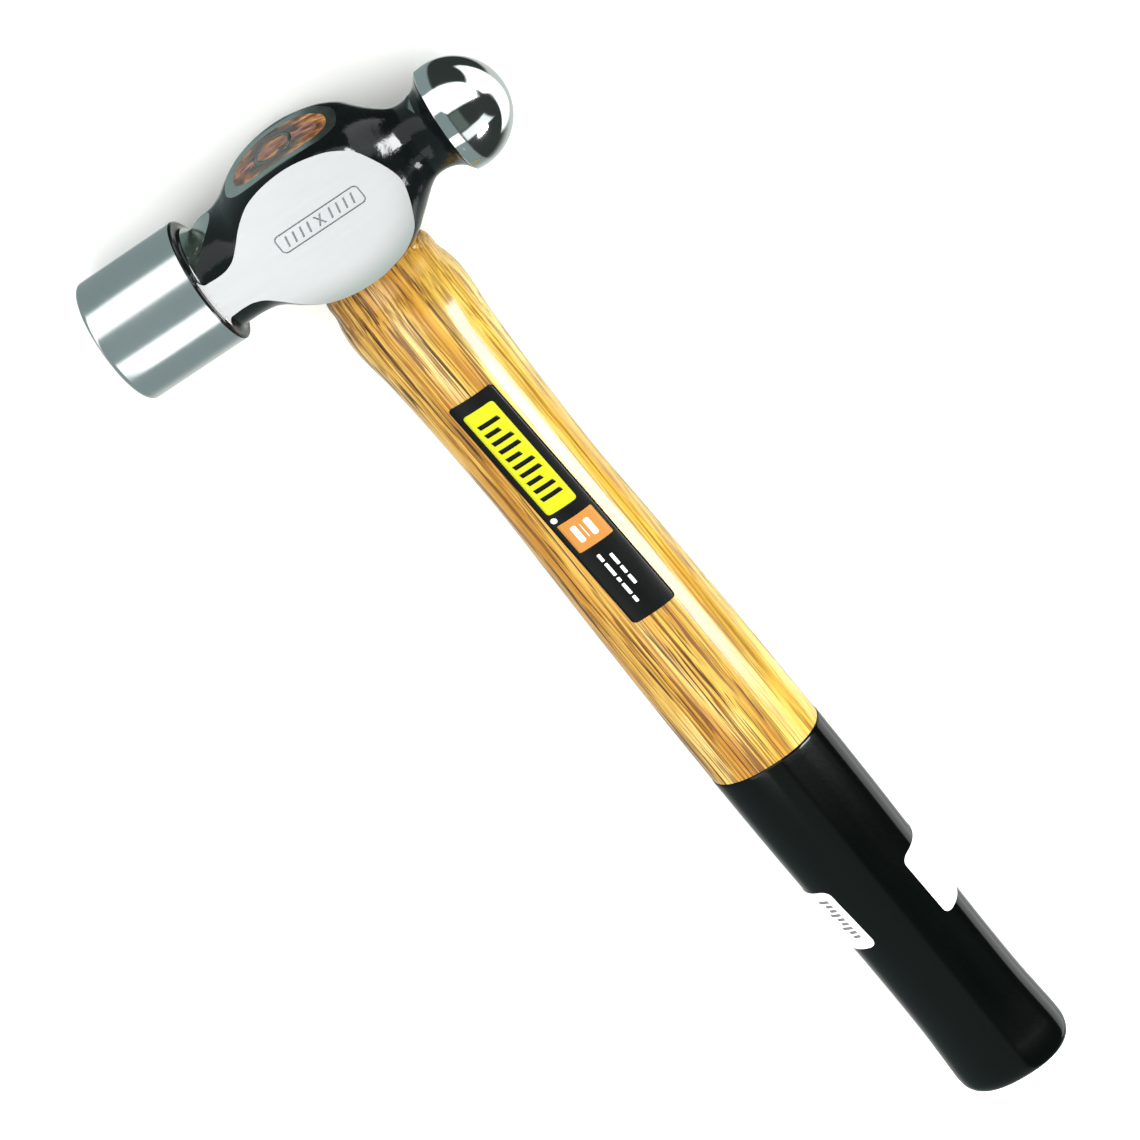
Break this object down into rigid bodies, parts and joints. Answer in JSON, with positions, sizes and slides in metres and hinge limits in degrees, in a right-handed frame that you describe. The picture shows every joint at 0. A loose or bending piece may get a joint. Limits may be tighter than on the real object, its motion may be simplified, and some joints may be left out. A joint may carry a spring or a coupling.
{
  "type": "ball pein hammer",
  "caption": "Ball pein hammer with a round poll, flat ground cheeks and a ball pein on an oval wooden handle with a dipped black grip",
  "frame": {"origin": "centre of the base of the bounding box, with the hammer lying on its side", "axes": "+X along the head from the poll to the ball, +Y along the handle to the crown of the head, +Z the normal of the upper cheek"},
  "size_m": [0.107, 0.3314, 0.031],
  "materials": {
    "hammer_head": "ground and polished forged steel, black lacquer on the necks",
    "handle": "clear varnished ash",
    "wood_wedge": "dark red hardwood, ground flush",
    "ring_wedge": "ground flush",
    "grip_coating": "dipped black coating, satin",
    "front_label": "glossy printed film",
    "rear_label": "white printed paper"
  },
  "bodies": {
    "root": {"hammer_head": "hammer_head", "handle": "handle", "wood_wedge": "wood_wedge", "ring_wedge": "ring_wedge", "grip_coating": "grip_coating", "front_label": "front_label", "rear_label": "rear_label"}
  },
  "joints": []
}
